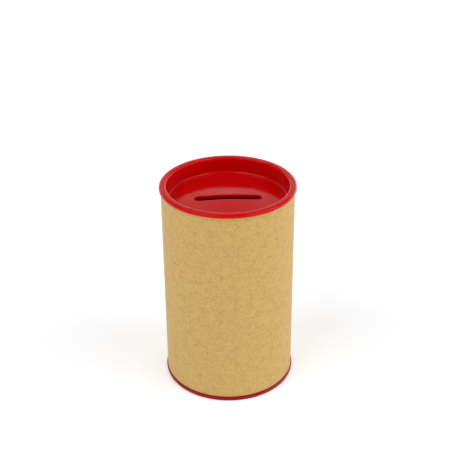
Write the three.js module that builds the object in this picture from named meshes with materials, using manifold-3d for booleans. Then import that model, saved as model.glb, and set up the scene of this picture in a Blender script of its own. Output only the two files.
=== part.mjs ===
// Round collection box: a spiral-wound board tube wrapped in kraft paper, with a slotted plug lid
// and a plug base of moulded plastic.
// Millimetres, +Z up, origin at the centre of the base, coin slot along X.
import * as THREE from "three";
import { mergeVertices } from "three/addons/utils/BufferGeometryUtils.js";
import Module from "manifold-3d";

const wasm = await Module();
wasm.setup();

// ---- Driving dimensions -------------------------------------------------------------------------

const SEGMENTS_PER_TURN = 96;
const ARC_DIVISIONS = 2;
const SLOT_OUTLINE_POINTS = 96;

// Tube
const TUBE_OUTER_DIAMETER = 75;
const TUBE_LENGTH = 117.5;
const WRAP_THICKNESS = 0.2;
const BOARD_THICKNESS = 0.45;
const LINER_THICKNESS = 0.15;
const GLUE_LINE = 0.05;
const WRAP_OVERLAP = 9;
const WRAP_RISE_LENGTH = 5;
const WRAP_START_TURN = 1 / 4;
const BOARD_STRIP_WIDTH = 80;
const BUTT_SEAM_GAP = 0.3;
const STRIP_TIP_HEIGHT = 0.4;
const SEAM_STAGGER = 0.29;

// Fits
const PLUG_CLEARANCE = 0.12;
const SEAT_GAP = 0.1;

// Lid
const LID_WALL = 1.1;
const LID_FLOOR_THICKNESS = 1.4;
const LID_RECESS_DEPTH = 9.8;
const LID_FLOOR_FILLET = 1.6;
const LID_FLOOR_CROWN = 1.6;
const LIP_OVERHANG = 1.05;
const LIP_HEIGHT = 2;
const LIP_OUTER_ROUND = 1.4;
const LIP_INNER_ROUND = 1.2;
const LIP_UNDER_ROUND = 0.3;
const PLUG_LEAD_IN = 0.5;

// Coin slot
const SLOT_LENGTH = 37.8;
const SLOT_WIDTH = 5;
const SLOT_EDGE_CHAMFER = 0.6;
const SLOT_COLLAR_WALL = 1.5;
const SLOT_COLLAR_DEPTH = 0.6;

// Base
const BASE_WALL = 1.2;
const BASE_FLOOR_THICKNESS = 1.4;
const BASE_PLUG_HEIGHT = 7;
const FLANGE_HEIGHT = 2.6;
const FLANGE_OVERHANG = 0.65;
const FLANGE_ROUND = 0.6;
const FLANGE_FOOT_ROUND = 0.8;
const BASE_CEILING_FILLET = 1.2;

// ---- Worked-out places and radii ----------------------------------------------------------------

const tubeOuterRadius = TUBE_OUTER_DIAMETER / 2;
const tubeBottom = FLANGE_HEIGHT + SEAT_GAP;
const tubeTop = tubeBottom + TUBE_LENGTH;
const lipUnderside = tubeTop + SEAT_GAP;
const lipTop = lipUnderside + LIP_HEIGHT;

// Inner radius of each layer, from the wrap inwards.
const wrapInner = tubeOuterRadius - WRAP_THICKNESS;
const outerBoardInner = wrapInner - GLUE_LINE - BOARD_THICKNESS;
const middleBoardInner = outerBoardInner - GLUE_LINE - BOARD_THICKNESS;
const innerBoardInner = middleBoardInner - GLUE_LINE - BOARD_THICKNESS;
const boreRadius = innerBoardInner - GLUE_LINE - LINER_THICKNESS;
const plugRadius = boreRadius - PLUG_CLEARANCE;

// The lid's floor: its edge meets the fillet of the recess wall, and its middle stands a crown higher.
const recessRadius = plugRadius - LID_WALL;
const lidFloorRadius = recessRadius - LID_FLOOR_FILLET;
const lidFloorEdge = lipTop - LID_RECESS_DEPTH;

// A strip of this width wound edge to edge climbs one pitch in each turn.
const windingCircumference = Math.PI * (outerBoardInner + wrapInner);
const windingAngle = Math.asin(BOARD_STRIP_WIDTH / windingCircumference);
const windingPitch = BOARD_STRIP_WIDTH / Math.cos(windingAngle);

// ---- Materials ----------------------------------------------------------------------------------

const finishes = {
  redPlastic: { color: 0xd81f2a, roughness: 0.25, metalness: 0 },
  kraftPaper: { color: 0xc6a063, roughness: 0.85, metalness: 0 },
  greyBoard: { color: 0xa99a82, roughness: 0.95, metalness: 0 },
  linerPaper: { color: 0xcdb083, roughness: 0.8, metalness: 0 },
};

// ---- Shape helpers ------------------------------------------------------------------------------

// Revolves a profile of (radius, height) points about the Z axis.
function revolve(profile) {
  const geometry = new THREE.LatheGeometry(profile.getPoints(ARC_DIVISIONS), SEGMENTS_PER_TURN);
  return geometry.rotateX(Math.PI / 2);
}

// The closed solid that a geometry bounds, with shared vertices merged and collapsed triangles left out.
function toSolid(geometry) {
  const bare = geometry.clone();
  bare.deleteAttribute("normal");
  bare.deleteAttribute("uv");
  const merged = mergeVertices(bare);
  const corners = merged.index.array;
  const triangles = [];
  for (let i = 0; i < corners.length; i += 3) {
    const [a, b, c] = corners.slice(i, i + 3);
    if (a !== b && b !== c && c !== a) {
      triangles.push(a, b, c);
    }
  }
  const mesh = new wasm.Mesh({
    numProp: 3,
    vertProperties: new Float32Array(merged.attributes.position.array),
    triVerts: new Uint32Array(triangles),
  });
  return new wasm.Manifold(mesh);
}

function toGeometry(solid) {
  const mesh = solid.getMesh();
  const geometry = new THREE.BufferGeometry();
  geometry.setAttribute("position", new THREE.BufferAttribute(mesh.vertProperties, mesh.numProp));
  geometry.setIndex(new THREE.BufferAttribute(mesh.triVerts, 1));
  geometry.computeVertexNormals();
  return geometry;
}

// Bends a flat strip round the Z axis. Angles are in steps of the turn; edges and radius follow the step.
function windStrip({ firstStep, lastStep, thickness, innerRadius, lowEdge, highEdge }) {
  const steps = lastStep - firstStep;
  const geometry = new THREE.BoxGeometry(1, 1, 1, 1, steps, 1);
  const points = geometry.attributes.position;
  for (let i = 0; i < points.count; i += 1) {
    const step = firstStep + Math.round((points.getY(i) + 0.5) * steps);
    const angle = (step / SEGMENTS_PER_TURN) * 2 * Math.PI;
    const radius = innerRadius(step) + (points.getX(i) + 0.5) * thickness;
    const height = THREE.MathUtils.lerp(lowEdge(step), highEdge(step), points.getZ(i) + 0.5);
    points.setXYZ(i, radius * Math.cos(angle), radius * Math.sin(angle), height);
  }
  geometry.computeVertexNormals();
  return geometry;
}

function toSteps(arcLength) {
  return Math.ceil((arcLength / (2 * Math.PI * tubeOuterRadius)) * SEGMENTS_PER_TURN);
}

// ---- Sub-parts ----------------------------------------------------------------------------------

// Plug lid: rounded lip over the tube's edge, plug wall down the bore, and a floor set down inside it
// that rises as a shallow cone to the middle.
function lidBody() {
  const lipRadius = tubeOuterRadius + LIP_OVERHANG;
  const plugEnd = lidFloorEdge - LID_FLOOR_THICKNESS;
  const outerRound = Math.min(LIP_OUTER_ROUND, LIP_HEIGHT - LIP_UNDER_ROUND);
  const profile = new THREE.Path();
  profile.moveTo(0, plugEnd + LID_FLOOR_CROWN);
  profile.lineTo(lidFloorRadius, plugEnd);
  profile.lineTo(plugRadius - PLUG_LEAD_IN, plugEnd);
  profile.lineTo(plugRadius, plugEnd + PLUG_LEAD_IN);
  profile.lineTo(plugRadius, lipUnderside);
  profile.absarc(lipRadius - LIP_UNDER_ROUND, lipUnderside + LIP_UNDER_ROUND, LIP_UNDER_ROUND,
    -Math.PI / 2, 0);
  profile.absarc(lipRadius - outerRound, lipTop - outerRound, outerRound, 0, Math.PI / 2);
  profile.absarc(recessRadius + LIP_INNER_ROUND, lipTop - LIP_INNER_ROUND, LIP_INNER_ROUND,
    Math.PI / 2, Math.PI);
  profile.absarc(lidFloorRadius, lidFloorEdge + LID_FLOOR_FILLET, LID_FLOOR_FILLET, 0, -Math.PI / 2, true);
  profile.lineTo(0, lidFloorEdge + LID_FLOOR_CROWN);
  return toSolid(revolve(profile));
}

// Stadium outline of the slot's throat, moved outwards by margin, as evenly spaced points.
function slotOutline(margin = 0) {
  const radius = SLOT_WIDTH / 2 + margin;
  const centre = (SLOT_LENGTH - SLOT_WIDTH) / 2;
  const stadium = new THREE.Path();
  stadium.absarc(centre, 0, radius, -Math.PI / 2, Math.PI / 2);
  stadium.lineTo(-centre, radius);
  stadium.absarc(-centre, 0, radius, Math.PI / 2, (3 * Math.PI) / 2);
  stadium.closePath();
  return new THREE.Shape(stadium.getSpacedPoints(SLOT_OUTLINE_POINTS).slice(0, -1));
}

// Lifts a shape drawn about height zero so that it follows the top of the crowned floor.
function followFloor(geometry) {
  const points = geometry.attributes.position;
  for (let i = 0; i < points.count; i += 1) {
    const outward = Math.hypot(points.getX(i), points.getY(i)) / lidFloorRadius;
    points.setZ(i, points.getZ(i) + lidFloorEdge + LID_FLOOR_CROWN * (1 - outward));
  }
  return geometry;
}

// Collar that stiffens the slot on the floor's underside; its upper half lies inside the floor.
function slotCollar() {
  const depth = SLOT_COLLAR_DEPTH + LID_FLOOR_THICKNESS / 2;
  const collar = new THREE.ExtrudeGeometry(slotOutline(SLOT_COLLAR_WALL), { depth, bevelEnabled: false });
  collar.translate(0, 0, -LID_FLOOR_THICKNESS - SLOT_COLLAR_DEPTH);
  return toSolid(followFloor(collar));
}

// Cutter for the slot: a throat through the floor and collar, flared at the floor's top face.
function slotCutter() {
  const reach = LID_FLOOR_THICKNESS + SLOT_COLLAR_DEPTH + SLOT_EDGE_CHAMFER;
  const throat = new THREE.ExtrudeGeometry(slotOutline(), { depth: 2 * reach, bevelEnabled: false });
  throat.translate(0, 0, -reach);
  const flare = new THREE.ExtrudeGeometry(slotOutline(), {
    depth: SLOT_EDGE_CHAMFER,
    bevelSize: SLOT_EDGE_CHAMFER,
    bevelThickness: SLOT_EDGE_CHAMFER,
    bevelSegments: 1,
  });
  return toSolid(followFloor(throat)).add(toSolid(followFloor(flare)));
}

function lid() {
  return toGeometry(lidBody().add(slotCollar()).subtract(slotCutter()));
}

// Plug base: thin flange under the tube's edge, plug wall up the bore, floor across its top, open below.
function baseCap() {
  const flangeRadius = tubeOuterRadius + FLANGE_OVERHANG;
  const hollowRadius = plugRadius - BASE_WALL;
  const plugTop = FLANGE_HEIGHT + BASE_PLUG_HEIGHT;
  const ceiling = plugTop - BASE_FLOOR_THICKNESS;
  const profile = new THREE.Path();
  profile.moveTo(0, ceiling);
  profile.lineTo(hollowRadius - BASE_CEILING_FILLET, ceiling);
  profile.absarc(hollowRadius - BASE_CEILING_FILLET, ceiling - BASE_CEILING_FILLET, BASE_CEILING_FILLET,
    Math.PI / 2, 0, true);
  profile.lineTo(hollowRadius, 0);
  profile.absarc(flangeRadius - FLANGE_FOOT_ROUND, FLANGE_FOOT_ROUND, FLANGE_FOOT_ROUND, -Math.PI / 2, 0);
  profile.absarc(flangeRadius - FLANGE_ROUND, FLANGE_HEIGHT - FLANGE_ROUND, FLANGE_ROUND, 0, Math.PI / 2);
  profile.lineTo(plugRadius, FLANGE_HEIGHT);
  profile.lineTo(plugRadius, plugTop - PLUG_LEAD_IN);
  profile.lineTo(plugRadius - PLUG_LEAD_IN, plugTop);
  profile.lineTo(0, plugTop);
  return revolve(profile);
}

// Wrap: one sheet round the tube, its end lapped over its start at the back.
function kraftWrap() {
  const startStep = WRAP_START_TURN * SEGMENTS_PER_TURN;
  const lapStep = startStep + SEGMENTS_PER_TURN;
  const riseSteps = toSteps(WRAP_RISE_LENGTH);
  const lift = WRAP_THICKNESS + GLUE_LINE;
  const risen = (step) => THREE.MathUtils.smoothstep(step, lapStep - riseSteps, lapStep);
  return windStrip({
    firstStep: startStep,
    lastStep: lapStep + toSteps(WRAP_OVERLAP),
    thickness: WRAP_THICKNESS,
    innerRadius: (step) => wrapInner + lift * risen(step),
    lowEdge: () => tubeBottom,
    highEdge: () => tubeTop,
  });
}

// Ply: one strip wound edge to edge, trimmed square at both ends of the tube. Its seam is a helix that
// starts at seamTurn on the bottom edge.
function spiralPly(radius, thickness, seamTurn) {
  const seamHeight = (step) => tubeBottom + windingPitch * (step / SEGMENTS_PER_TURN - seamTurn);
  const tipTurns = (BUTT_SEAM_GAP + STRIP_TIP_HEIGHT) / windingPitch;
  const topTurns = (TUBE_LENGTH - STRIP_TIP_HEIGHT) / windingPitch;
  return windStrip({
    firstStep: Math.ceil((seamTurn - 1 + tipTurns) * SEGMENTS_PER_TURN),
    lastStep: Math.floor((seamTurn + topTurns) * SEGMENTS_PER_TURN),
    thickness,
    innerRadius: () => radius,
    lowEdge: (step) => Math.max(tubeBottom, seamHeight(step)),
    highEdge: (step) => Math.min(tubeTop, seamHeight(step) + windingPitch - BUTT_SEAM_GAP),
  });
}

// ---- Assembly -----------------------------------------------------------------------------------

const box = new THREE.Group();

function addPiece(name, geometry, finish) {
  const mesh = new THREE.Mesh(geometry, new THREE.MeshStandardMaterial(finish));
  mesh.name = name;
  box.add(mesh);
}

const boardPlies = [
  ["outer_board_ply", outerBoardInner],
  ["middle_board_ply", middleBoardInner],
  ["inner_board_ply", innerBoardInner],
];

addPiece("base_cap", baseCap(), finishes.redPlastic);
addPiece("kraft_wrap", kraftWrap(), finishes.kraftPaper);
boardPlies.forEach(([name, innerRadius], i) => {
  addPiece(name, spiralPly(innerRadius, BOARD_THICKNESS, i * SEAM_STAGGER), finishes.greyBoard);
});
const linerSeam = boardPlies.length * SEAM_STAGGER;
addPiece("liner_ply", spiralPly(boreRadius, LINER_THICKNESS, linerSeam), finishes.linerPaper);
addPiece("lid", lid(), finishes.redPlastic);

export default box;
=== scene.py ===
from math import asin, ceil, cos, floor, pi, radians, sin

import bmesh
import bpy
from bpy.props import FloatProperty, FloatVectorProperty, IntProperty, PointerProperty
from mathutils import Matrix, Vector


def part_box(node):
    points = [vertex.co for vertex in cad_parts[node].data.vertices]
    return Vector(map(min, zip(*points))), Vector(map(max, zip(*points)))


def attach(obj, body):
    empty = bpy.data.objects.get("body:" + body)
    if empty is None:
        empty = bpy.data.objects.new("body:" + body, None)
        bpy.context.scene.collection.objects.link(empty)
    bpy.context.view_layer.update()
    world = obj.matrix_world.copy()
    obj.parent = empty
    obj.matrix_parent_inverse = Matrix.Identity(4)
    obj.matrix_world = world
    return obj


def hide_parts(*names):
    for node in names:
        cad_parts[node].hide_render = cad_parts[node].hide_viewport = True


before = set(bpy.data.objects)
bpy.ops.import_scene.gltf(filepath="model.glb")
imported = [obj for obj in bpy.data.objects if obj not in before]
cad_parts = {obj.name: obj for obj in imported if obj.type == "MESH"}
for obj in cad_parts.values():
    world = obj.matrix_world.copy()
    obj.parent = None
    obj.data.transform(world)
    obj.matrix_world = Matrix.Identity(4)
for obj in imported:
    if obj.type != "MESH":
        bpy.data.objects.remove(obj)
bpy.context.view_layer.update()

bl_info = {
    "name": "Collection Box",
    "version": (1, 0, 0),
    "blender": (4, 5, 0),
    "location": "3D View > Sidebar > Collection Box",
    "description": "Builds a paper-wrapped board collection box with a slotted plastic lid",
    "category": "Object",
}

# The places of the CAD pieces that every visual piece is built from, and the tube's board plies from the
# outside in.
WRAP_LOW, WRAP_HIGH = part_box("kraft_wrap")
LID_LOW, LID_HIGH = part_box("lid")
BASE_LOW, BASE_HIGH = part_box("base_cap")
TUBE_RADIUS = WRAP_HIGH.x
BOARD_PLIES = ("outer_board_ply", "middle_board_ply", "inner_board_ply")
MM = 0.001
AXIS_GAP = 0.2 * MM  # a turned piece's first ring stands this far off the axis, and a fan closes it
# Most of a noise's values lie between these two.
NOISE_LOW, NOISE_HIGH = 0.35, 0.7
# The sockets of a mix: how much of the second, the two colours or the two values, and the mixed colour.
SHARE, FIRST, SECOND, MIXED = 0, 6, 7, 2
FIRST_VALUE, SECOND_VALUE = 2, 3
SHARP_ANGLE = radians(40)  # a sheet's cut edges are sharp, and its rolled faces smooth


# ---- Colour and node helpers ---------------------------------------------------------------------


def linear(hex_colour):
    """The linear RGBA of an sRGB hex colour."""
    channels = [int(hex_colour[i : i + 2], 16) / 255 for i in (1, 3, 5)]
    return tuple(c / 12.92 if c <= 0.04045 else ((c + 0.055) / 1.055) ** 2.4 for c in channels) + (1.0,)


def opaque(colour):
    """The RGBA of a colour setting."""
    return tuple(colour) + (1.0,)


def add_node(tree, kind, inputs=None, **settings):
    """Adds a node with its settings. Each input is given a plain value, or linked where a socket is given."""
    made = tree.nodes.new(kind)
    for name, value in settings.items():
        setattr(made, name, value)
    for name, given in (inputs or {}).items():
        if isinstance(given, bpy.types.NodeSocket):
            tree.links.new(given, made.inputs[name])
        else:
            made.inputs[name].default_value = given
    return made


def new_material(name):
    """An empty node material and its tree."""
    material = bpy.data.materials.new(name)
    material.use_nodes = True
    material.node_tree.nodes.clear()
    return material, material.node_tree


def unrolled_place(tree):
    """A point's place on the flat sheet before it was rolled: along the sheet, up the tube, in metres."""
    place = add_node(tree, "ShaderNodeTexCoord").outputs["Object"]
    split = add_node(tree, "ShaderNodeSeparateXYZ", {"Vector": place}).outputs
    facing = add_node(tree, "ShaderNodeMath", {0: split["Y"], 1: -1.0}, operation="MULTIPLY").outputs[0]
    angle = add_node(tree, "ShaderNodeMath", {0: split["X"], 1: facing}, operation="ARCTAN2").outputs[0]
    along = add_node(tree, "ShaderNodeMath", {0: angle, 1: TUBE_RADIUS}, operation="MULTIPLY").outputs[0]
    return add_node(tree, "ShaderNodeCombineXYZ", {"X": along, "Y": split["Z"]}).outputs[0]


def fibre_layer(tree, place, length, width, turn, cover):
    """Short fibres that lie at one angle: noise drawn out along their length, kept where it is highest."""
    scale = (1 / length, 1 / width, 1)
    fade = 0.12
    aligned = add_node(tree, "ShaderNodeMapping", {"Vector": place, "Rotation": (0, 0, turn), "Scale": scale})
    streaks = add_node(
        tree, "ShaderNodeTexNoise", {"Vector": aligned.outputs[0], "Scale": 1.0, "Detail": 1.0}
    )
    kept = add_node(
        tree,
        "ShaderNodeMapRange",
        {"Value": streaks.outputs["Fac"], "From Min": 1 - cover, "From Max": 1 - cover + fade},
        interpolation_type="SMOOTHSTEP",
    )
    return kept.outputs[0]


# ---- Materials -----------------------------------------------------------------------------------


# Injection-moulded polypropylene from a polished tool, heavily dyed. To the eye it is a hard gloss whose
# reflections take up the red of the skin, with a slow ripple in them where the wall has cooled and sunk,
# and a faint haze.
def moulded_polypropylene(name, colour, finish):
    material, tree = new_material("moulded_polypropylene_" + name)
    place = add_node(tree, "ShaderNodeTexCoord").outputs["Object"]
    ripple_width = 9 * MM
    haze_width = 14 * MM
    ripple = add_node(tree, "ShaderNodeTexNoise", {"Vector": place, "Scale": 1 / ripple_width, "Detail": 1.0})
    haze = add_node(tree, "ShaderNodeTexNoise", {"Vector": place, "Scale": 1 / haze_width, "Detail": 5.0})
    gloss = add_node(
        tree,
        "ShaderNodeMapRange",
        {
            "Value": haze.outputs["Fac"],
            "From Min": NOISE_LOW,
            "From Max": NOISE_HIGH,
            "To Min": finish.gloss_roughness,
            "To Max": finish.haze_roughness,
        },
    )
    sunk = add_node(
        tree, "ShaderNodeBump", {"Height": ripple.outputs["Fac"], "Strength": 0.25, "Distance": 0.25 * MM}
    )
    skin_shader = add_node(
        tree,
        "ShaderNodeBsdfPrincipled",
        {
            "Base Color": opaque(colour),
            "Roughness": gloss.outputs[0],
            "IOR": 1.49,
            "Specular Tint": opaque(finish.gloss_tint),
            "Normal": sunk.outputs[0],
        },
    )
    add_node(tree, "ShaderNodeOutputMaterial", {"Surface": skin_shader.outputs[0]})
    return material


# Unbleached kraft paper, machine finished. To the eye it has soft clouds where the pulp lies thicker, fine
# pale and dark fibres that mostly follow the sheet, a few dark shives, and a dry surface that whitens at a
# low angle.
def machine_finished_kraft(finish):
    material, tree = new_material("kraft_paper_machine_finished")
    place = unrolled_place(tree)
    cloud_width = 4.5 * MM
    flock_width = 1.5 * MM
    # A real fibre is about 0.03 mm wide; these are drawn coarser so that they show.
    fibre_length, fibre_width = 2.4 * MM, 0.22 * MM
    shive_spacing = 7 * MM
    shive_stretch = (0.35, 1.6, 1)
    sheet, darker, paler = opaque(finish.colour), opaque(finish.dark_fibre), opaque(finish.pale_fibre)
    shive = opaque(finish.shive)
    clouds = add_node(tree, "ShaderNodeTexNoise", {"Vector": place, "Scale": 1 / cloud_width, "Detail": 3.0})
    flocks = add_node(tree, "ShaderNodeTexNoise", {"Vector": place, "Scale": 1 / flock_width, "Detail": 2.0})
    cloud_share = add_node(
        tree,
        "ShaderNodeMapRange",
        {
            "Value": clouds.outputs["Fac"],
            "From Min": NOISE_LOW,
            "From Max": NOISE_HIGH,
            "To Max": finish.cloud_share,
        },
    )
    flock_share = add_node(
        tree,
        "ShaderNodeMapRange",
        {
            "Value": flocks.outputs["Fac"],
            "From Min": NOISE_LOW,
            "From Max": NOISE_HIGH,
            "To Max": finish.flock_share,
        },
    )
    cloudy = add_node(
        tree, "ShaderNodeMix", {SHARE: cloud_share.outputs[0], FIRST: sheet, SECOND: darker}, data_type="RGBA"
    )
    flocked = add_node(
        tree,
        "ShaderNodeMix",
        {SHARE: flock_share.outputs[0], FIRST: cloudy.outputs[MIXED], SECOND: paler},
        data_type="RGBA",
    )
    colour, height = flocked.outputs[MIXED], flocks.outputs["Fac"]
    # Each layer of fibres: how they are turned, how much of the sheet they cover and how much they colour it.
    for turn, cover, tint, weight in (
        (radians(4), 0.36, paler, 0.42),
        (radians(-28), 0.33, darker, 0.36),
        (radians(55), 0.33, paler, 0.3),
        (radians(-72), 0.31, darker, 0.3),
    ):
        fibres = fibre_layer(tree, place, fibre_length, fibre_width, turn, cover)
        share = add_node(tree, "ShaderNodeMath", {0: fibres, 1: weight}, operation="MULTIPLY")
        laid = add_node(
            tree, "ShaderNodeMix", {SHARE: share.outputs[0], FIRST: colour, SECOND: tint}, data_type="RGBA"
        )
        colour = laid.outputs[MIXED]
        height = add_node(tree, "ShaderNodeMath", {0: height, 1: fibres}, operation="ADD").outputs[0]
    stretched = add_node(
        tree, "ShaderNodeMapping", {"Vector": place, "Rotation": (0, 0, radians(17)), "Scale": shive_stretch}
    )
    cells = add_node(
        tree, "ShaderNodeTexVoronoi", {"Vector": stretched.outputs[0], "Scale": 1 / shive_spacing}
    )
    shives = add_node(
        tree,
        "ShaderNodeMapRange",
        {
            "Value": cells.outputs["Distance"],
            "From Min": 0.035,
            "From Max": 0.07,
            "To Min": 0.55,
            "To Max": 0.0,
        },
    )
    flecked = add_node(
        tree, "ShaderNodeMix", {SHARE: shives.outputs[0], FIRST: colour, SECOND: shive}, data_type="RGBA"
    )
    grain = add_node(tree, "ShaderNodeBump", {"Height": height, "Strength": 0.35, "Distance": 0.03 * MM})
    rough = add_node(
        tree, "ShaderNodeMapRange", {"Value": clouds.outputs["Fac"], "To Min": 0.62, "To Max": 0.82}
    )
    sheet_shader = add_node(
        tree,
        "ShaderNodeBsdfPrincipled",
        {
            "Base Color": flecked.outputs[MIXED],
            "Roughness": rough.outputs[0],
            "IOR": 1.5,
            "Sheen Weight": 0.08,
            "Sheen Roughness": 0.5,
            "Normal": grain.outputs[0],
        },
    )
    add_node(tree, "ShaderNodeOutputMaterial", {"Surface": sheet_shader.outputs[0]})
    return material


# Core board of recycled pulp, calendered and slit. To the eye it is grey-brown and dull, flecked with pale
# and dark fibre, with a soft tooth that a cut edge shows as well as a face.
def recycled_core_board(finish):
    material, tree = new_material("core_board_recycled")
    place = add_node(tree, "ShaderNodeTexCoord").outputs["Object"]
    cloud_width = 1.6 * MM
    fleck_width = 0.45 * MM
    clouds = add_node(tree, "ShaderNodeTexNoise", {"Vector": place, "Scale": 1 / cloud_width, "Detail": 4.0})
    flecks = add_node(tree, "ShaderNodeTexNoise", {"Vector": place, "Scale": 1 / fleck_width, "Detail": 2.0})
    pale_share = add_node(
        tree,
        "ShaderNodeMapRange",
        {"Value": flecks.outputs["Fac"], "From Min": 0.55, "From Max": 0.75, "To Max": 0.6},
    )
    dark_share = add_node(
        tree,
        "ShaderNodeMapRange",
        {"Value": flecks.outputs["Fac"], "From Min": 0.45, "From Max": 0.25, "To Max": 0.5},
    )
    cloudy = add_node(
        tree,
        "ShaderNodeMix",
        {SHARE: clouds.outputs["Fac"], FIRST: opaque(finish.colour), SECOND: opaque(finish.cloud_colour)},
        data_type="RGBA",
    )
    paled = add_node(
        tree,
        "ShaderNodeMix",
        {SHARE: pale_share.outputs[0], FIRST: cloudy.outputs[MIXED], SECOND: opaque(finish.pale_fleck)},
        data_type="RGBA",
    )
    flecked = add_node(
        tree,
        "ShaderNodeMix",
        {SHARE: dark_share.outputs[0], FIRST: paled.outputs[MIXED], SECOND: opaque(finish.dark_fleck)},
        data_type="RGBA",
    )
    tooth = add_node(
        tree, "ShaderNodeBump", {"Height": flecks.outputs["Fac"], "Strength": 0.5, "Distance": 0.06 * MM}
    )
    rough = add_node(
        tree, "ShaderNodeMapRange", {"Value": clouds.outputs["Fac"], "To Min": 0.82, "To Max": 0.98}
    )
    board_shader = add_node(
        tree,
        "ShaderNodeBsdfPrincipled",
        {
            "Base Color": flecked.outputs[MIXED],
            "Roughness": rough.outputs[0],
            "IOR": 1.45,
            "Normal": tooth.outputs[0],
        },
    )
    add_node(tree, "ShaderNodeOutputMaterial", {"Surface": board_shader.outputs[0]})
    return material


# Semi-bleached liner paper, calendered. To the eye it is paler and closer than the wrap, with small clouds
# and a low satin sheen where it was pressed against the winding mandrel.
def bleached_liner_paper(finish):
    material, tree = new_material("liner_paper_calendered")
    place = unrolled_place(tree)
    cloud_width = 2.8 * MM
    # A real fibre is about 0.03 mm wide; these are drawn coarser so that they show.
    fibre_length, fibre_width = 2.0 * MM, 0.2 * MM
    fibre_weight = 0.3
    clouds = add_node(tree, "ShaderNodeTexNoise", {"Vector": place, "Scale": 1 / cloud_width, "Detail": 4.0})
    fibres = fibre_layer(tree, place, fibre_length, fibre_width, turn=radians(20), cover=0.34)
    share = add_node(tree, "ShaderNodeMath", {0: fibres, 1: fibre_weight}, operation="MULTIPLY")
    cloudy = add_node(
        tree,
        "ShaderNodeMix",
        {SHARE: clouds.outputs["Fac"], FIRST: opaque(finish.colour), SECOND: opaque(finish.cloud_colour)},
        data_type="RGBA",
    )
    colour = add_node(
        tree,
        "ShaderNodeMix",
        {SHARE: share.outputs[0], FIRST: cloudy.outputs[MIXED], SECOND: opaque(finish.fibre_colour)},
        data_type="RGBA",
    )
    grain = add_node(tree, "ShaderNodeBump", {"Height": fibres, "Strength": 0.3, "Distance": 0.03 * MM})
    rough = add_node(
        tree, "ShaderNodeMapRange", {"Value": clouds.outputs["Fac"], "To Min": 0.5, "To Max": 0.7}
    )
    liner_shader = add_node(
        tree,
        "ShaderNodeBsdfPrincipled",
        {
            "Base Color": colour.outputs[MIXED],
            "Roughness": rough.outputs[0],
            "IOR": 1.5,
            "Normal": grain.outputs[0],
        },
    )
    add_node(tree, "ShaderNodeOutputMaterial", {"Surface": liner_shader.outputs[0]})
    return material


# Matt opal acrylic, cast and etched, lit from below as on a studio light table. To the eye it is an even
# white that fills the shadows, a little brighter towards the back of the stage.
def etched_opal_acrylic(stage):
    material, tree = new_material("opal_acrylic_etched")
    place = add_node(tree, "ShaderNodeTexCoord").outputs["Object"]
    # The etched tooth is finer than a hair; it is drawn coarser so that the white is not dead flat.
    tooth_width = 1.1 * MM
    tooth = add_node(tree, "ShaderNodeTexNoise", {"Vector": place, "Scale": 1 / tooth_width, "Detail": 2.0})
    colour = add_node(
        tree,
        "ShaderNodeMix",
        {SHARE: tooth.outputs["Fac"], FIRST: opaque(stage.table_hollow), SECOND: opaque(stage.table_tooth)},
        data_type="RGBA",
    )
    split = add_node(tree, "ShaderNodeSeparateXYZ", {"Vector": place})
    front, back = 150 * MM, 800 * MM
    glow = add_node(
        tree,
        "ShaderNodeMapRange",
        {
            "Value": split.outputs["Y"],
            "From Min": front,
            "From Max": back,
            "To Min": stage.table_glow,
            "To Max": stage.back_glow,
        },
    )
    table_shader = add_node(
        tree,
        "ShaderNodeBsdfPrincipled",
        {
            "Base Color": colour.outputs[MIXED],
            "Roughness": 0.95,
            "Specular IOR Level": 0.2,
            "Emission Color": linear("#FFFFFF"),
            "Emission Strength": glow.outputs[0],
        },
    )
    add_node(tree, "ShaderNodeOutputMaterial", {"Surface": table_shader.outputs[0]})
    return material


# ---- Mesh helpers --------------------------------------------------------------------------------


def arc(centre, radius, start, end, steps):
    """Points of an arc in the (radius, height) plane, both ends included, angles in degrees."""
    return [
        (
            centre[0] + radius * cos(radians(start + (end - start) * i / steps)),
            centre[1] + radius * sin(radians(start + (end - start) * i / steps)),
        )
        for i in range(steps + 1)
    ]


def held(points, margin=0.12 * MM):
    """Adds a point just inside each end of every long straight stretch, so that smooth shading stays in the
    rounds and flat faces stay flat."""
    kept = [points[0]]
    for a, b in zip(points, points[1:]):
        run = (Vector(b) - Vector(a)).length
        if run > 4 * margin:
            step = (Vector(b) - Vector(a)) * (margin / run)
            kept.append(tuple(Vector(a) + step))
            kept.append(tuple(Vector(b) - step))
        kept.append(b)
    return kept


def circle_ring(radius, height, count):
    turns = [2 * pi * i / count for i in range(count)]
    return [Vector((radius * cos(t), radius * sin(t), height)) for t in turns]


def slot_ring(length, width, grow, height, count):
    """A stadium along X with its points spread evenly round it, moved outwards by grow."""
    radius = width / 2
    straight = length / 2 - radius
    quarter = radius * pi / 2 + straight
    ring = []
    for i in range(count):
        quadrant, part = divmod(4 * i / count, 1)
        run = (part if quadrant % 2 == 0 else 1 - part) * quarter
        turn = min(run / radius, pi / 2)
        x = straight - max(run - radius * pi / 2, 0) + (radius + grow) * cos(turn)
        y = (radius + grow) * sin(turn)
        ring.append(Vector((x if quadrant in (0, 3) else -x, y if quadrant < 2 else -y, height)))
    return ring


def between(first, second, shares):
    """Rings part of the way from one ring to another."""
    return [[a.lerp(b, share) for a, b in zip(first, second)] for share in shares]


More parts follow.
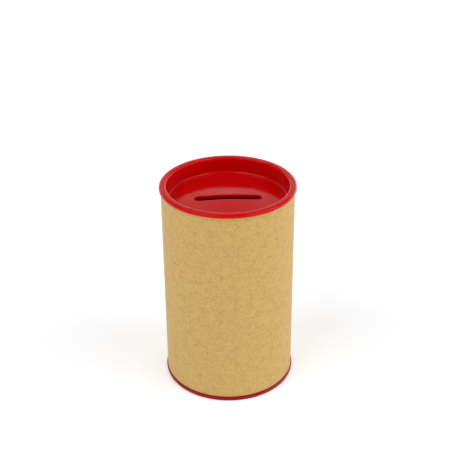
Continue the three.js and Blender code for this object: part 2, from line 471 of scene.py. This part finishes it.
def skin(name, rings, loop=False, caps=False):
    """A mesh of quads through rings of points that are each closed on themselves. loop joins the last ring
    to the first; caps closes both ends with a fan."""
    shape = bmesh.new()
    rows = [[shape.verts.new(point) for point in ring] for ring in rings]
    count = len(rows[0])
    pairs = list(zip(rows, rows[1:])) + ([(rows[-1], rows[0])] if loop else [])
    for lower, upper in pairs:
        for i in range(count):
            j = (i + 1) % count
            shape.faces.new((lower[i], lower[j], upper[j], upper[i]))
    if caps:
        for row, turned in ((rows[0], True), (rows[-1], False)):
            middle = shape.verts.new(sum((v.co for v in row), Vector()) / count)
            for i in range(count):
                a, b = row[i], row[(i + 1) % count]
                shape.faces.new((b, a, middle) if turned else (a, b, middle))
    bmesh.ops.recalc_face_normals(shape, faces=shape.faces)
    mesh = bpy.data.meshes.new(name)
    shape.to_mesh(mesh)
    shape.free()
    mesh.shade_smooth()
    piece = bpy.data.objects.new(name, mesh)
    bpy.context.scene.collection.objects.link(piece)
    return piece


def place_piece(piece, node, body, material, sharp_angle=None):
    """Gives a piece its finish, hides the CAD node that it stands for, and puts it under the body that
    carries it.
    """
    piece.data.materials.append(material)
    if sharp_angle is not None:
        piece.data.set_sharp_from_angle(angle=sharp_angle)
    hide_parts(node)
    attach(piece, body)


# ---- Pieces --------------------------------------------------------------------------------------


def bore_radius(tube):
    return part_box("liner_ply")[1].x - tube.liner_thickness


def lid_rings(lid, tube, count):
    """One closed run of rings round the lid's section: slot, floor, recess wall, lip, plug and underside."""
    plug = bore_radius(tube) - tube.plug_clearance
    recess = plug - lid.wall
    floor_under = LID_LOW.z
    floor_edge = floor_under + lid.floor_thickness
    lip_under = LID_HIGH.z - lid.lip_height
    fillet = lid.floor_fillet
    over, under = lid.slot_edge_round, lid.collar_edge_round
    collar_end = floor_under - lid.collar_depth

    def crowned(ring):
        """Lifts a flat ring to follow the floor, which rises evenly from its edge to its middle."""
        for point in ring:
            point.z += lid.floor_crown * max(1 - point.xy.length / (recess - fillet), 0)
        return ring

    def slot(grow, height):
        return crowned(slot_ring(lid.slot_length, lid.slot_width, grow, height, count))

    def floor_face(grow, height, shares):
        hole = slot_ring(lid.slot_length, lid.slot_width, grow, height, count)
        edge = circle_ring(recess - fillet, height, count)
        return [crowned(ring) for ring in between(hole, edge, shares)]

    collar = [(lid.collar_wall, floor_under)]
    collar += arc((lid.collar_wall - under, collar_end + under), under, 0, -90, 4)
    collar += arc((under, collar_end + under), under, 270, 180, 4)
    throat = collar + arc((over, floor_edge - over), over, 180, 90, 8)
    throat = [slot(grow, height) for grow, height in held(throat)]
    inner, outer, lower = lid.lip_inner_round, lid.lip_outer_round, lid.lip_under_round
    section = arc((recess - fillet, floor_edge + fillet), fillet, -90, 0, 12)
    section += arc((recess + inner, LID_HIGH.z - inner), inner, 180, 90, 10)
    section += arc((LID_HIGH.x - outer, LID_HIGH.z - outer), outer, 90, 0, 12)
    section += arc((LID_HIGH.x - lower, lip_under + lower), lower, 0, -90, 5)
    section += [(plug, lip_under), (plug, floor_under + lid.lead_in)]
    section += arc((plug - lid.lead_in, floor_under + lid.lead_in), lid.lead_in, 0, -90, 6)[1:]
    walls = [circle_ring(radius, height, count) for radius, height in held(section)]
    # The floor's rings lie closer together at its two edges, so that its shading stays flat up to them.
    shares = (0.006, 0.08, 0.2, 0.35, 0.5, 0.65, 0.8, 0.92, 0.98)
    rings = throat + floor_face(over, floor_edge, shares) + walls
    return rings + list(reversed(floor_face(lid.collar_wall, floor_under, shares + (1,))))


def base_profile(base, tube):
    """The base closure's section from the axis under its floor round to the axis on top of it."""
    plug = bore_radius(tube) - tube.plug_clearance
    hollow = plug - base.wall
    ceiling = BASE_HIGH.z - base.floor_thickness
    ceiling_round, foot, rim = base.ceiling_fillet, base.foot_round, base.flange_round
    gate, gate_low, gate_round = base.gate_radius, ceiling - base.gate_height, base.gate_round
    section = [(AXIS_GAP, gate_low)]
    section += arc((gate - gate_round, gate_low + gate_round), gate_round, -90, 0, 4)
    section += [(gate, ceiling)]
    section += arc((hollow - ceiling_round, ceiling - ceiling_round), ceiling_round, 90, 0, 8)
    section += arc((hollow + foot / 2, foot / 2), foot / 2, 180, 270, 5)
    section += arc((BASE_HIGH.x - foot, foot), foot, -90, 0, 8)
    section += arc((BASE_HIGH.x - rim, base.flange_height - rim), rim, 0, 90, 8)
    section += [(plug, base.flange_height), (plug, BASE_HIGH.z - base.lead_in)]
    section += arc((plug - base.lead_in, BASE_HIGH.z - base.lead_in), base.lead_in, 0, 90, 6)[1:]
    return held(section + [(AXIS_GAP, BASE_HIGH.z)])


def wound_strip(name, steps, count, radius, thickness, low, high, rows):
    """A strip bent round the axis. Steps count from the +X side; radius, low and high follow the step."""
    rings = []
    for step in range(steps[0], steps[1] + 1):
        turn = 2 * pi * step / count
        out = Vector((cos(turn), sin(turn), 0))
        heights = [low(step) + (high(step) - low(step)) * row / rows for row in range(rows + 1)]
        outer = [out * (radius(step, z) + thickness) + Vector((0, 0, z)) for z in heights]
        inner = [out * radius(step, z) + Vector((0, 0, z)) for z in reversed(heights)]
        rings.append(outer + inner)
    return skin(name, rings, caps=True)


# ---- Settings ------------------------------------------------------------------------------------


def length_property(name, description, default):
    return FloatProperty(
        name=name, description=description, default=default, min=0, subtype="DISTANCE", unit="LENGTH"
    )


def share_property(name, description, default):
    return FloatProperty(name=name, description=description, default=default, min=0, max=1, subtype="FACTOR")


def light_property(name, description, default):
    return FloatProperty(name=name, description=description, default=default, min=0)


def power_property(name, description, default):
    return FloatProperty(
        name=name, description=description, default=default, min=0, subtype="POWER", unit="POWER"
    )


def angle_property(name, description, degrees):
    return FloatProperty(
        name=name, description=description, default=radians(degrees), subtype="ANGLE", unit="ROTATION"
    )


def place_property(name, description, default):
    return FloatVectorProperty(
        name=name, description=description, default=default, subtype="TRANSLATION", unit="LENGTH"
    )


def colour_property(name, description, hex_colour):
    return FloatVectorProperty(
        name=name,
        description=description,
        subtype="COLOR",
        size=3,
        min=0,
        max=1,
        default=linear(hex_colour)[:3],
    )


class TubeSettings(bpy.types.PropertyGroup):
    liner_thickness: length_property("Liner", "Thickness of the liner paper", 0.15 * MM)
    board_thickness: length_property("Board", "Thickness of each board ply", 0.45 * MM)
    wrap_thickness: length_property("Wrap", "Thickness of the kraft wrap", 0.2 * MM)
    glue_line: length_property("Glue line", "Thickness of the glue under each layer", 0.05 * MM)
    overlap: length_property("Overlap", "How far the wrap laps over its own start", 9 * MM)
    rise: length_property("Rise", "Length over which the lap climbs on to the layer below", 4 * MM)
    strip_width: length_property("Strip width", "Width of each wound board strip", 80 * MM)
    seam_gap: length_property("Seam gap", "Gap where a strip's edges meet", 0.3 * MM)
    plug_clearance: length_property("Plug clearance", "Gap between a plug and the bore", 0.12 * MM)
    seam_stagger: share_property("Seam stagger", "Share of a turn from one ply's seam to the next", 0.29)


class LidSettings(bpy.types.PropertyGroup):
    wall: length_property("Wall", "Thickness of the plug wall", 1.1 * MM)
    floor_thickness: length_property("Floor", "Thickness of the recessed floor", 1.4 * MM)
    floor_fillet: length_property("Floor fillet", "Round between the floor and the recess wall", 1.6 * MM)
    lip_height: length_property("Lip height", "Height of the lip over the tube's edge", 2 * MM)
    lip_outer_round: length_property("Lip outer round", "Round on the lip's outer top edge", 1.4 * MM)
    lip_inner_round: length_property("Lip inner round", "Round on the lip's inner top edge", 1.2 * MM)
    lip_under_round: length_property("Lip under round", "Round on the lip's lower edge", 0.3 * MM)
    lead_in: length_property("Lead-in", "Round at the plug's lower edge", 0.5 * MM)
    floor_crown: length_property("Floor crown", "Rise of the floor's middle over its edge", 1.6 * MM)
    slot_length: length_property("Slot length", "Clear length of the coin slot", 37.8 * MM)
    slot_width: length_property("Slot width", "Clear width of the coin slot", 5 * MM)
    slot_edge_round: length_property("Slot edge round", "Round on the slot's upper edge", 0.6 * MM)
    collar_wall: length_property("Collar wall", "Width of the collar under the slot", 1.5 * MM)
    collar_depth: length_property("Collar depth", "Depth of the collar under the slot", 0.6 * MM)
    collar_edge_round: length_property("Collar edge round", "Round on the collar's lower edges", 0.25 * MM)


class BaseSettings(bpy.types.PropertyGroup):
    wall: length_property("Wall", "Thickness of the plug wall", 1.2 * MM)
    floor_thickness: length_property("Floor", "Thickness of the base floor", 1.4 * MM)
    ceiling_fillet: length_property("Ceiling fillet", "Round under the floor", 1.2 * MM)
    flange_height: length_property("Flange height", "Height of the flange under the tube", 2.6 * MM)
    flange_round: length_property("Flange round", "Round on the flange's upper edge", 0.6 * MM)
    foot_round: length_property("Foot round", "Round on the flange's lower edge", 0.8 * MM)
    lead_in: length_property("Lead-in", "Round at the plug's upper edge", 0.5 * MM)
    gate_radius: length_property("Gate radius", "Radius of the gate's nub under the floor", 1.6 * MM)
    gate_height: length_property("Gate height", "Height of the gate's nub", 0.35 * MM)
    gate_round: length_property("Gate round", "Round on the gate's nub", 0.25 * MM)


class PlasticSettings(bpy.types.PropertyGroup):
    lid_colour: colour_property("Lid colour", "Colour of the lid's plastic", "#CB0205")
    # The base's colour has painted shade: it is the lid's red plastic, made darker for the shade the flange
    # sits in down by the floor.
    shaded_base_colour: colour_property("Base colour", "Colour of the base closure's plastic", "#8C0A08")
    gloss_tint: colour_property("Gloss tint", "Colour that the dyed skin gives a reflection", "#FF8888")
    gloss_roughness: share_property("Gloss", "Roughness where it is cleanest", 0.09)
    haze_roughness: share_property("Haze", "Roughness where it is handled", 0.16)


class KraftSettings(bpy.types.PropertyGroup):
    colour: colour_property("Colour", "Colour of the kraft sheet", "#C6A054")
    dark_fibre: colour_property("Dark fibre", "Colour of the darker fibres", "#A87F30")
    pale_fibre: colour_property("Pale fibre", "Colour of the paler fibres", "#D9B97C")
    shive: colour_property("Shive", "Colour of the dark shives", "#6B4A24")
    cloud_share: share_property("Clouds", "How dark the clouds of pulp are", 0.36)
    flock_share: share_property("Flocks", "How pale the flocks of fibre are", 0.4)


class BoardSettings(bpy.types.PropertyGroup):
    colour: colour_property("Colour", "Colour of the board", "#A3937A")
    cloud_colour: colour_property("Cloud colour", "Colour where the pulp lies thicker", "#8A7A62")
    pale_fleck: colour_property("Pale fleck", "Colour of the pale flecks", "#C9BCA2")
    dark_fleck: colour_property("Dark fleck", "Colour of the dark flecks", "#5E5040")


class LinerSettings(bpy.types.PropertyGroup):
    colour: colour_property("Colour", "Colour of the liner paper", "#D3B98E")
    cloud_colour: colour_property("Cloud colour", "Colour where the pulp lies thicker", "#BFA47A")
    fibre_colour: colour_property("Fibre colour", "Colour of the pale fibres", "#E2CFAA")


class StageSettings(bpy.types.PropertyGroup):
    floor_size: length_property("Floor size", "Side of the light table", 14.0)
    focal_length: FloatProperty(
        name="Focal length",
        description="Lens of the camera",
        default=76.83,
        subtype="DISTANCE_CAMERA",
        unit="CAMERA",
    )
    camera_place: place_property("Camera place", "Where the camera stands", (-0.0177, -0.4943, 0.3639))
    camera_heading: angle_property("Heading", "Turn of the view to the right of +Y", 2.27)
    camera_tilt: angle_property("Tilt", "How far the view looks down", 28.83)
    camera_roll: angle_property("Roll", "Roll of the camera", -0.38)
    table_hollow: colour_property("Table hollow", "Colour between the teeth of the etched table", "#EFF1F5")
    table_tooth: colour_property("Table tooth", "Colour of the teeth of the etched table", "#F3F5F9")
    table_glow: light_property("Table glow", "Light up through the table at the front of the stage", 0.34)
    back_glow: light_property("Back glow", "Light up through the table at the back of the stage", 0.47)
    right_place: place_property("Right softbox", "Where the right softbox hangs", (1.21, -0.37, 1.55))
    left_place: place_property("Left softbox", "Where the left softbox hangs", (-1.02, -0.52, 1.64))
    softbox_run: FloatVectorProperty(
        name="Softbox run",
        description="Way that the right softbox's long side runs; the left one's is its mirror image",
        default=(0.47, 0.52, -0.25),
        subtype="DIRECTION",
    )
    softbox_length: length_property("Softbox length", "Length of each softbox", 1.5)
    softbox_width: length_property("Softbox width", "Width of each softbox", 0.35)
    right_power: power_property("Right power", "Power of the right softbox", 11.6)
    left_power: power_property("Left power", "Power of the left softbox", 13.6)
    left_wall: light_property("Left wall", "Brightness of the left wall", 0.32)
    right_wall: light_property("Right wall", "Brightness of the right wall", 0.66)
    horizon: light_property("Horizon", "Extra brightness low on the walls, as a multiple", 2.6)
    ceiling: light_property("Ceiling", "Brightness of the room's ceiling", 0.3)
    backdrop: light_property("Backdrop", "Extra brightness of the lit backdrop", 0.32)


class CollectionBoxSettings(bpy.types.PropertyGroup):
    tube: PointerProperty(type=TubeSettings)
    lid: PointerProperty(type=LidSettings)
    base: PointerProperty(type=BaseSettings)
    plastic: PointerProperty(type=PlasticSettings)
    kraft: PointerProperty(type=KraftSettings)
    board: PointerProperty(type=BoardSettings)
    liner: PointerProperty(type=LinerSettings)
    stage: PointerProperty(type=StageSettings)
    smoothness: IntProperty(
        name="Smoothness", description="Steps in one turn of a round piece", default=256, min=32
    )


# ---- Operators -----------------------------------------------------------------------------------


class COLLECTIONBOX_OT_stage(bpy.types.Operator):
    """Sets the floor, the lights, the room and the camera"""

    bl_idname = "collectionbox.stage"
    bl_label = "Set the stage"

    def execute(self, context):
        stage = context.scene.collection_box.stage
        self.lay_floor(context, stage)
        self.hang_softbox(context, stage, "right_softbox", stage.right_place, stage.right_power)
        self.hang_softbox(context, stage, "left_softbox", stage.left_place, stage.left_power)
        self.paint_room(context, stage)
        self.stand_camera(context, stage)
        context.scene.view_settings.view_transform = "Standard"
        return {"FINISHED"}

    def lay_floor(self, context, stage):
        half = stage.floor_size / 2
        corners = [(-half, -half), (half, -half), (half, half), (-half, half)]
        shape = bmesh.new()
        shape.faces.new([shape.verts.new((x, y, 0)) for x, y in corners])
        mesh = bpy.data.meshes.new("light_table")
        shape.to_mesh(mesh)
        shape.free()
        mesh.materials.append(etched_opal_acrylic(stage))
        table = bpy.data.objects.new("light_table", mesh)
        context.scene.collection.objects.link(table)

    def hang_softbox(self, context, stage, name, place, power):
        """A long softbox that faces the object, with its long side along the softbox run."""
        light = bpy.data.lights.new(name, "AREA")
        light.shape = "RECTANGLE"
        light.size = stage.softbox_length
        light.size_y = stage.softbox_width
        light.energy = power
        lamp = bpy.data.objects.new(name, light)
        place, run = Vector(place), Vector(stage.softbox_run)
        if place.x < 0:
            run.x = -run.x
        away = place.normalized()
        across = away.cross(run).normalized()
        turn = Matrix((across.cross(away), across, away)).transposed()
        lamp.matrix_world = Matrix.Translation(place) @ turn.to_4x4()
        context.scene.collection.objects.link(lamp)

    def paint_room(self, context, stage):
        """White walls that are brightest low down, a darker ceiling, and a lit backdrop behind the object."""
        world = bpy.data.worlds.new("white_room")
        world.use_nodes = True
        tree = world.node_tree
        tree.nodes.clear()
        way = add_node(tree, "ShaderNodeTexCoord").outputs["Generated"]
        split = add_node(tree, "ShaderNodeSeparateXYZ", {"Vector": way}).outputs
        sides = add_node(
            tree,
            "ShaderNodeMapRange",
            {
                "Value": split["X"],
                "From Min": -0.8,
                "From Max": 0.8,
                "To Min": stage.left_wall,
                "To Max": stage.right_wall,
            },
        )
        overhead = add_node(
            tree,
            "ShaderNodeMapRange",
            {"Value": split["Z"], "From Min": 0.1, "From Max": 0.75},
            interpolation_type="SMOOTHSTEP",
        )
        room = add_node(
            tree,
            "ShaderNodeMix",
            {SHARE: overhead.outputs[0], FIRST_VALUE: sides.outputs[0], SECOND_VALUE: stage.ceiling},
        )
        low_down = add_node(
            tree,
            "ShaderNodeMapRange",
            {"Value": split["Z"], "From Min": 0.08, "From Max": 0.26, "To Min": stage.horizon, "To Max": 0.0},
            interpolation_type="SMOOTHSTEP",
        )
        walls = add_node(
            tree,
            "ShaderNodeMath",
            {0: low_down.outputs[0], 1: sides.outputs[0], 2: room.outputs[0]},
            operation="MULTIPLY_ADD",
        )
        lit_height = add_node(
            tree,
            "ShaderNodeMapRange",
            {
                "Value": split["Z"],
                "From Min": 0.34,
                "From Max": 0.62,
                "To Min": stage.backdrop,
                "To Max": 0.0,
            },
            interpolation_type="SMOOTHSTEP",
        )
        behind = add_node(
            tree,
            "ShaderNodeMapRange",
            {"Value": split["Y"], "From Min": 0.3, "From Max": 0.8},
            interpolation_type="SMOOTHSTEP",
        )
        backdrop = add_node(
            tree,
            "ShaderNodeMath",
            {0: lit_height.outputs[0], 1: behind.outputs[0], 2: walls.outputs[0]},
            operation="MULTIPLY_ADD",
        )
        light = add_node(
            tree, "ShaderNodeBackground", {"Color": linear("#FFFFFF"), "Strength": backdrop.outputs[0]}
        )
        add_node(tree, "ShaderNodeOutputWorld", {"Surface": light.outputs[0]})
        context.scene.world = world

    def stand_camera(self, context, stage):
        data = bpy.data.cameras.new("camera")
        data.lens = stage.focal_length
        camera = bpy.data.objects.new("camera", data)
        turn = (
            Matrix.Rotation(-stage.camera_heading, 4, "Z")
            @ Matrix.Rotation(pi / 2 - stage.camera_tilt, 4, "X")
            @ Matrix.Rotation(stage.camera_roll, 4, "Z")
        )
        camera.matrix_world = Matrix.Translation(stage.camera_place) @ turn
        context.scene.collection.objects.link(camera)
        context.scene.camera = camera


class COLLECTIONBOX_OT_lid(bpy.types.Operator):
    """Moulds the slotted lid with its rounded lip and recessed floor"""

    bl_idname = "collectionbox.lid"
    bl_label = "Build the lid"

    def execute(self, context):
        box = context.scene.collection_box
        piece = skin("slotted_lid", lid_rings(box.lid, box.tube, box.smoothness), loop=True)
        plastic = moulded_polypropylene("bright_red", box.plastic.lid_colour, box.plastic)
        place_piece(piece, "lid", "lid", plastic)
        return {"FINISHED"}


class COLLECTIONBOX_OT_base(bpy.types.Operator):
    """Moulds the base closure with its thin flange"""

    bl_idname = "collectionbox.base"
    bl_label = "Build the base closure"

    def execute(self, context):
        box = context.scene.collection_box
        profile = base_profile(box.base, box.tube)
        rings = [circle_ring(radius, height, box.smoothness) for radius, height in profile]
        piece = skin("base_closure", rings, caps=True)
        # The same red plastic as the lid, with painted shade: darker, for the shade the flange sits in by the
        # floor.
        plastic = moulded_polypropylene("shaded_red", box.plastic.shaded_base_colour, box.plastic)
        place_piece(piece, "base_cap", "base", plastic)
        return {"FINISHED"}


class COLLECTIONBOX_OT_wrap(bpy.types.Operator):
    """Rolls the kraft wrap round the tube and laps its end over its start at the back"""

    bl_idname = "collectionbox.wrap"
    bl_label = "Roll the kraft wrap"

    def execute(self, context):
        box = context.scene.collection_box
        tube = box.tube
        count = 2 * box.smoothness
        start = count // 4
        lap = start + count
        step_length = 2 * pi * TUBE_RADIUS / count
        rise = tube.rise / step_length
        lift = tube.wrap_thickness + tube.glue_line
        inner = TUBE_RADIUS - tube.wrap_thickness

        def radius(step, height):
            share = min(max((step - lap + rise) / rise, 0), 1)
            return inner + lift * share * share * (3 - 2 * share)

        piece = wound_strip(
            "kraft_paper_wrap",
            (start, lap + round(tube.overlap / step_length)),
            count,
            radius,
            tube.wrap_thickness,
            lambda step: WRAP_LOW.z,
            lambda step: WRAP_HIGH.z,
            rows=24,
        )
        material = machine_finished_kraft(box.kraft)
        place_piece(piece, "kraft_wrap", "tube", material, SHARP_ANGLE)
        return {"FINISHED"}


class COLLECTIONBOX_OT_plies(bpy.types.Operator):
    """Winds the three board plies and the liner, each a strip whose edges meet in a spiral seam"""

    bl_idname = "collectionbox.plies"
    bl_label = "Wind the board and liner"

    def execute(self, context):
        box = context.scene.collection_box
        tube = box.tube
        board = recycled_core_board(box.board)
        liner = bleached_liner_paper(box.liner)
        for place, node in enumerate(BOARD_PLIES):
            piece = self.wind(box, node, tube.board_thickness, place * tube.seam_stagger)
            place_piece(piece, node, "tube", board, SHARP_ANGLE)
        piece = self.wind(box, "liner_ply", tube.liner_thickness, len(BOARD_PLIES) * tube.seam_stagger)
        place_piece(piece, "liner_ply", "tube", liner, SHARP_ANGLE)
        return {"FINISHED"}

    def wind(self, box, node, thickness, seam_turn):
        tube = box.tube
        count = box.smoothness
        low, high = WRAP_LOW.z, WRAP_HIGH.z
        middle = TUBE_RADIUS - tube.wrap_thickness - (tube.glue_line + tube.board_thickness) / 2
        slope = asin(tube.strip_width / (2 * pi * middle))
        pitch = tube.strip_width / cos(slope)
        # A strip starts and stops where its pointed end would be narrower than this.
        least_end = 0.4 * MM
        tip = tube.seam_gap + least_end
        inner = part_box(node)[1].x - thickness

        def seam(step):
            return low + pitch * (step / count - seam_turn)

        first = ceil((seam_turn - 1 + tip / pitch) * count)
        last = floor((seam_turn + (high - low - tip) / pitch) * count)
        return wound_strip(
            "wound_" + node,
            (first, last),
            count,
            lambda step, height: inner,
            thickness,
            lambda step: max(low, seam(step)),
            lambda step: min(high, seam(step) + pitch - tube.seam_gap),
            rows=1,
        )


class COLLECTIONBOX_PT_panel(bpy.types.Panel):
    """Lists the buttons that build the collection box, and its settings"""

    bl_idname = "COLLECTIONBOX_PT_panel"
    bl_label = "Collection Box"
    bl_space_type = "VIEW_3D"
    bl_region_type = "UI"
    bl_category = "Collection Box"

    def draw(self, context):
        box = context.scene.collection_box
        for operator in OPERATORS:
            self.layout.operator(operator.bl_idname)
        self.layout.prop(box, "smoothness")
        for group in ("tube", "lid", "base", "plastic", "kraft", "board", "liner", "stage"):
            column = self.layout.column()
            column.label(text=group.capitalize())
            settings = getattr(box, group)
            for name in settings.bl_rna.properties.keys():
                if name not in ("rna_type", "name"):
                    column.prop(settings, name)


SETTINGS = (
    TubeSettings,
    LidSettings,
    BaseSettings,
    PlasticSettings,
    KraftSettings,
    BoardSettings,
    LinerSettings,
    StageSettings,
    CollectionBoxSettings,
)
OPERATORS = (
    COLLECTIONBOX_OT_stage,
    COLLECTIONBOX_OT_base,
    COLLECTIONBOX_OT_plies,
    COLLECTIONBOX_OT_wrap,
    COLLECTIONBOX_OT_lid,
)
CLASSES = SETTINGS + OPERATORS + (COLLECTIONBOX_PT_panel,)


def register():
    for made in CLASSES:
        bpy.utils.register_class(made)
    bpy.types.Scene.collection_box = PointerProperty(type=CollectionBoxSettings)


def unregister():
    del bpy.types.Scene.collection_box
    for made in reversed(CLASSES):
        bpy.utils.unregister_class(made)


def main():
    register()
    bpy.ops.collectionbox.stage()
    bpy.ops.collectionbox.base()
    bpy.ops.collectionbox.plies()
    bpy.ops.collectionbox.wrap()
    bpy.ops.collectionbox.lid()


if __name__ == "__main__":
    main()
